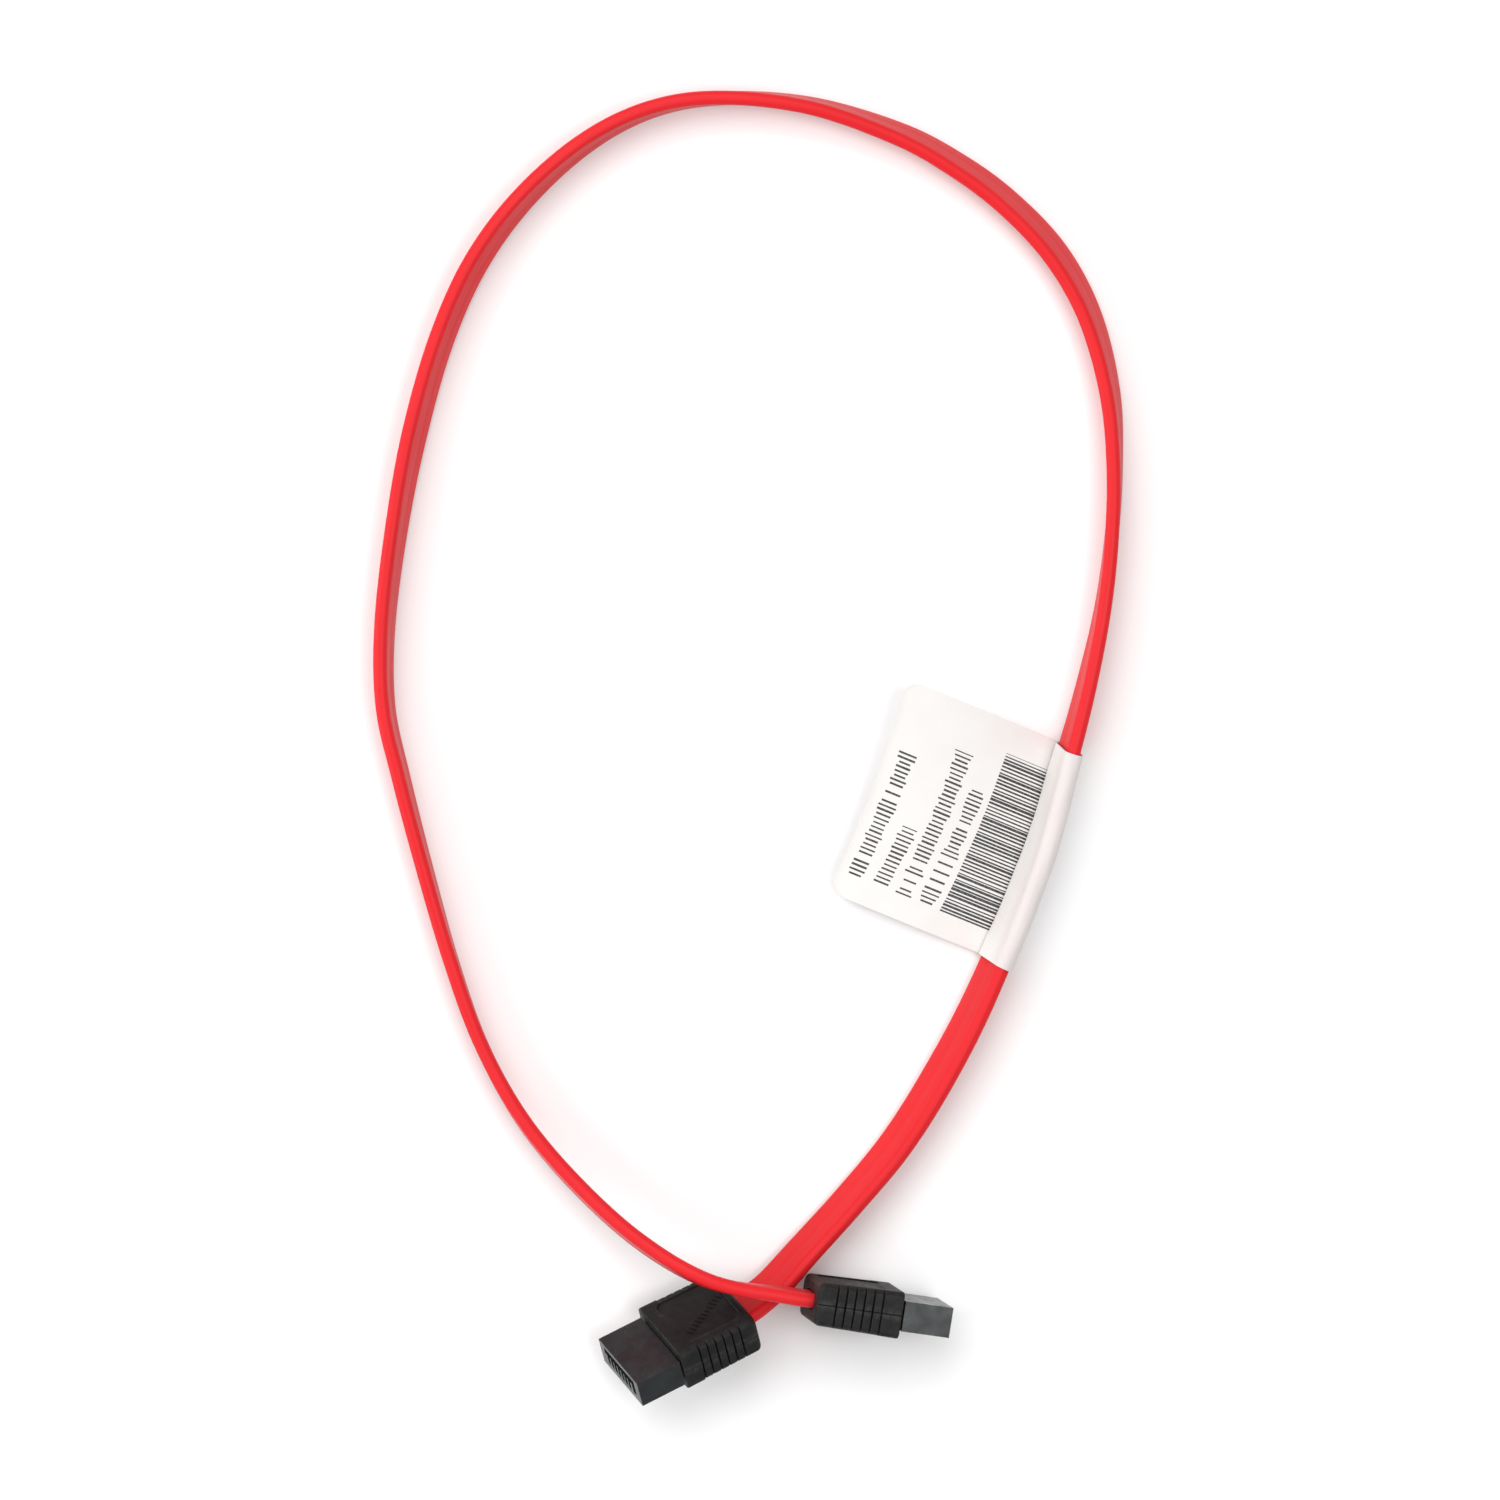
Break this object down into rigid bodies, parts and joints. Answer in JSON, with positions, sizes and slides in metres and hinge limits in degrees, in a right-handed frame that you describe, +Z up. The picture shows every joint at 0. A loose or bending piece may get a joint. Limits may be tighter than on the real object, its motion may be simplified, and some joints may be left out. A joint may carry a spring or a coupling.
{
  "type": "sata data cable",
  "caption": "Red flat data cable lying in a loop on its edge, with a straight black keyed connector on each end and a folded white paper flag label near one end.",
  "frame": {"origin": "centre of the base of the box round both connectors and the label, on the table that the cable lies on", "axes": "+Y along the loop's long way, from the connectors to its far bend; +Z up from the table; +X towards the run that carries the label"},
  "size_m": [0.1272, 0.2217, 0.0213],
  "materials": {
    "jacket": "smooth soft red vinyl",
    "foil": "bright foil",
    "wire_insulation_white": "smooth",
    "wire_insulation_blue": "smooth",
    "drain_wire": "tinned copper",
    "label_paper": "matt printed paper",
    "overmould": "fine satin black",
    "housing": "satin black",
    "contact": "gold plated"
  },
  "bodies": {
    "root": {"cable_jacket": "jacket", "foil_shield_a": "foil", "foil_shield_b": "foil", "signal_wire_1": "wire_insulation_white", "signal_wire_2": "wire_insulation_blue", "signal_wire_3": "wire_insulation_white", "signal_wire_4": "wire_insulation_blue", "drain_wire_a_inner": "drain_wire", "drain_wire_a_outer": "drain_wire", "drain_wire_b_inner": "drain_wire", "drain_wire_b_outer": "drain_wire", "flag_label": "label_paper", "overmould_a": "overmould", "housing_a": "housing", "overmould_b": "overmould", "housing_b": "housing", "contact_a_1": "contact", "contact_a_2": "contact", "contact_a_3": "contact", "contact_a_4": "contact", "contact_a_5": "contact", "contact_a_6": "contact", "contact_a_7": "contact", "contact_b_1": "contact", "contact_b_2": "contact", "contact_b_3": "contact", "contact_b_4": "contact", "contact_b_5": "contact", "contact_b_6": "contact", "contact_b_7": "contact"}
  },
  "joints": []
}
